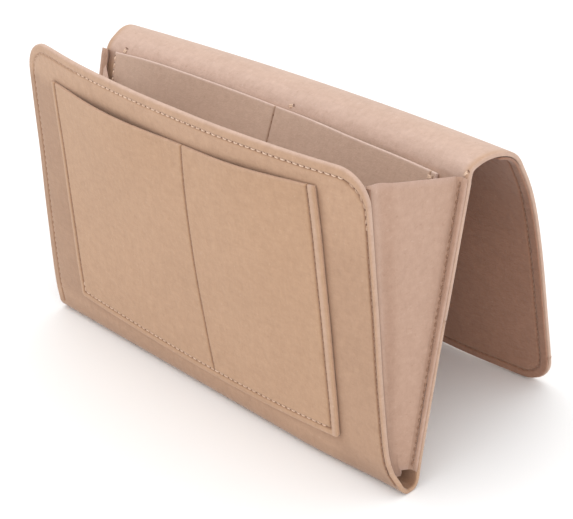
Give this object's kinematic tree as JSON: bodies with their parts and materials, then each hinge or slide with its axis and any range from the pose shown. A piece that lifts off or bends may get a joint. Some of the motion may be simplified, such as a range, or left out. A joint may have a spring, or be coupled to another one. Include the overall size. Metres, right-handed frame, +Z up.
{
  "type": "felt bedside storage bag",
  "caption": "Soft felt bag with a wide main compartment, a divided front pocket, divided inner pouches and a flap that tucks under a mattress.",
  "frame": {"origin": "on the flat foot under the bottom fold, midway between the side edges of the flap, on the surface the bag stands on", "axes": "+X along the width, +Y from the front panel towards the tuck flap, +Z up"},
  "size_m": [0.3396, 0.1708, 0.217],
  "materials": {
    "main_felt": "matte felt",
    "lining_felt": "matte felt",
    "pocket_felt": "matte felt",
    "side_felt": "matte felt",
    "thread": "sewing thread"
  },
  "bodies": {
    "back": {"back_panel": "main_felt", "bottom_fold": "main_felt", "top_bend": "main_felt", "inner_pocket": "pocket_felt", "gusset_left": "side_felt", "gusset_right": "side_felt", "inner_left_seam": "thread", "inner_centre_seam": "thread", "inner_right_seam": "thread", "back_left_seam": "thread", "back_right_seam": "thread"},
    "front": {"front_panel": "main_felt", "front_pocket": "pocket_felt", "front_edge_seam": "thread", "pocket_edge_seam": "thread", "pocket_centre_seam": "thread"},
    "flap": {"tuck_flap": "main_felt", "flap_lining": "lining_felt", "flap_edge_seam": "thread"}
  },
  "joints": [
    {"name": "mouth_close", "type": "hinge", "parent": "back", "child": "front", "pos_m": [0, 0, 0.0095], "axis": [-1, 0, 0], "range_deg": [0, 16], "deforming": ["bottom_fold", "gusset_left", "gusset_right"]},
    {"name": "flap_fold", "type": "hinge", "parent": "back", "child": "flap", "pos_m": [0, 0.09, 0.1892], "axis": [1, 0, 0], "range_deg": [-34, 75], "deforming": ["top_bend"]}
  ]
}
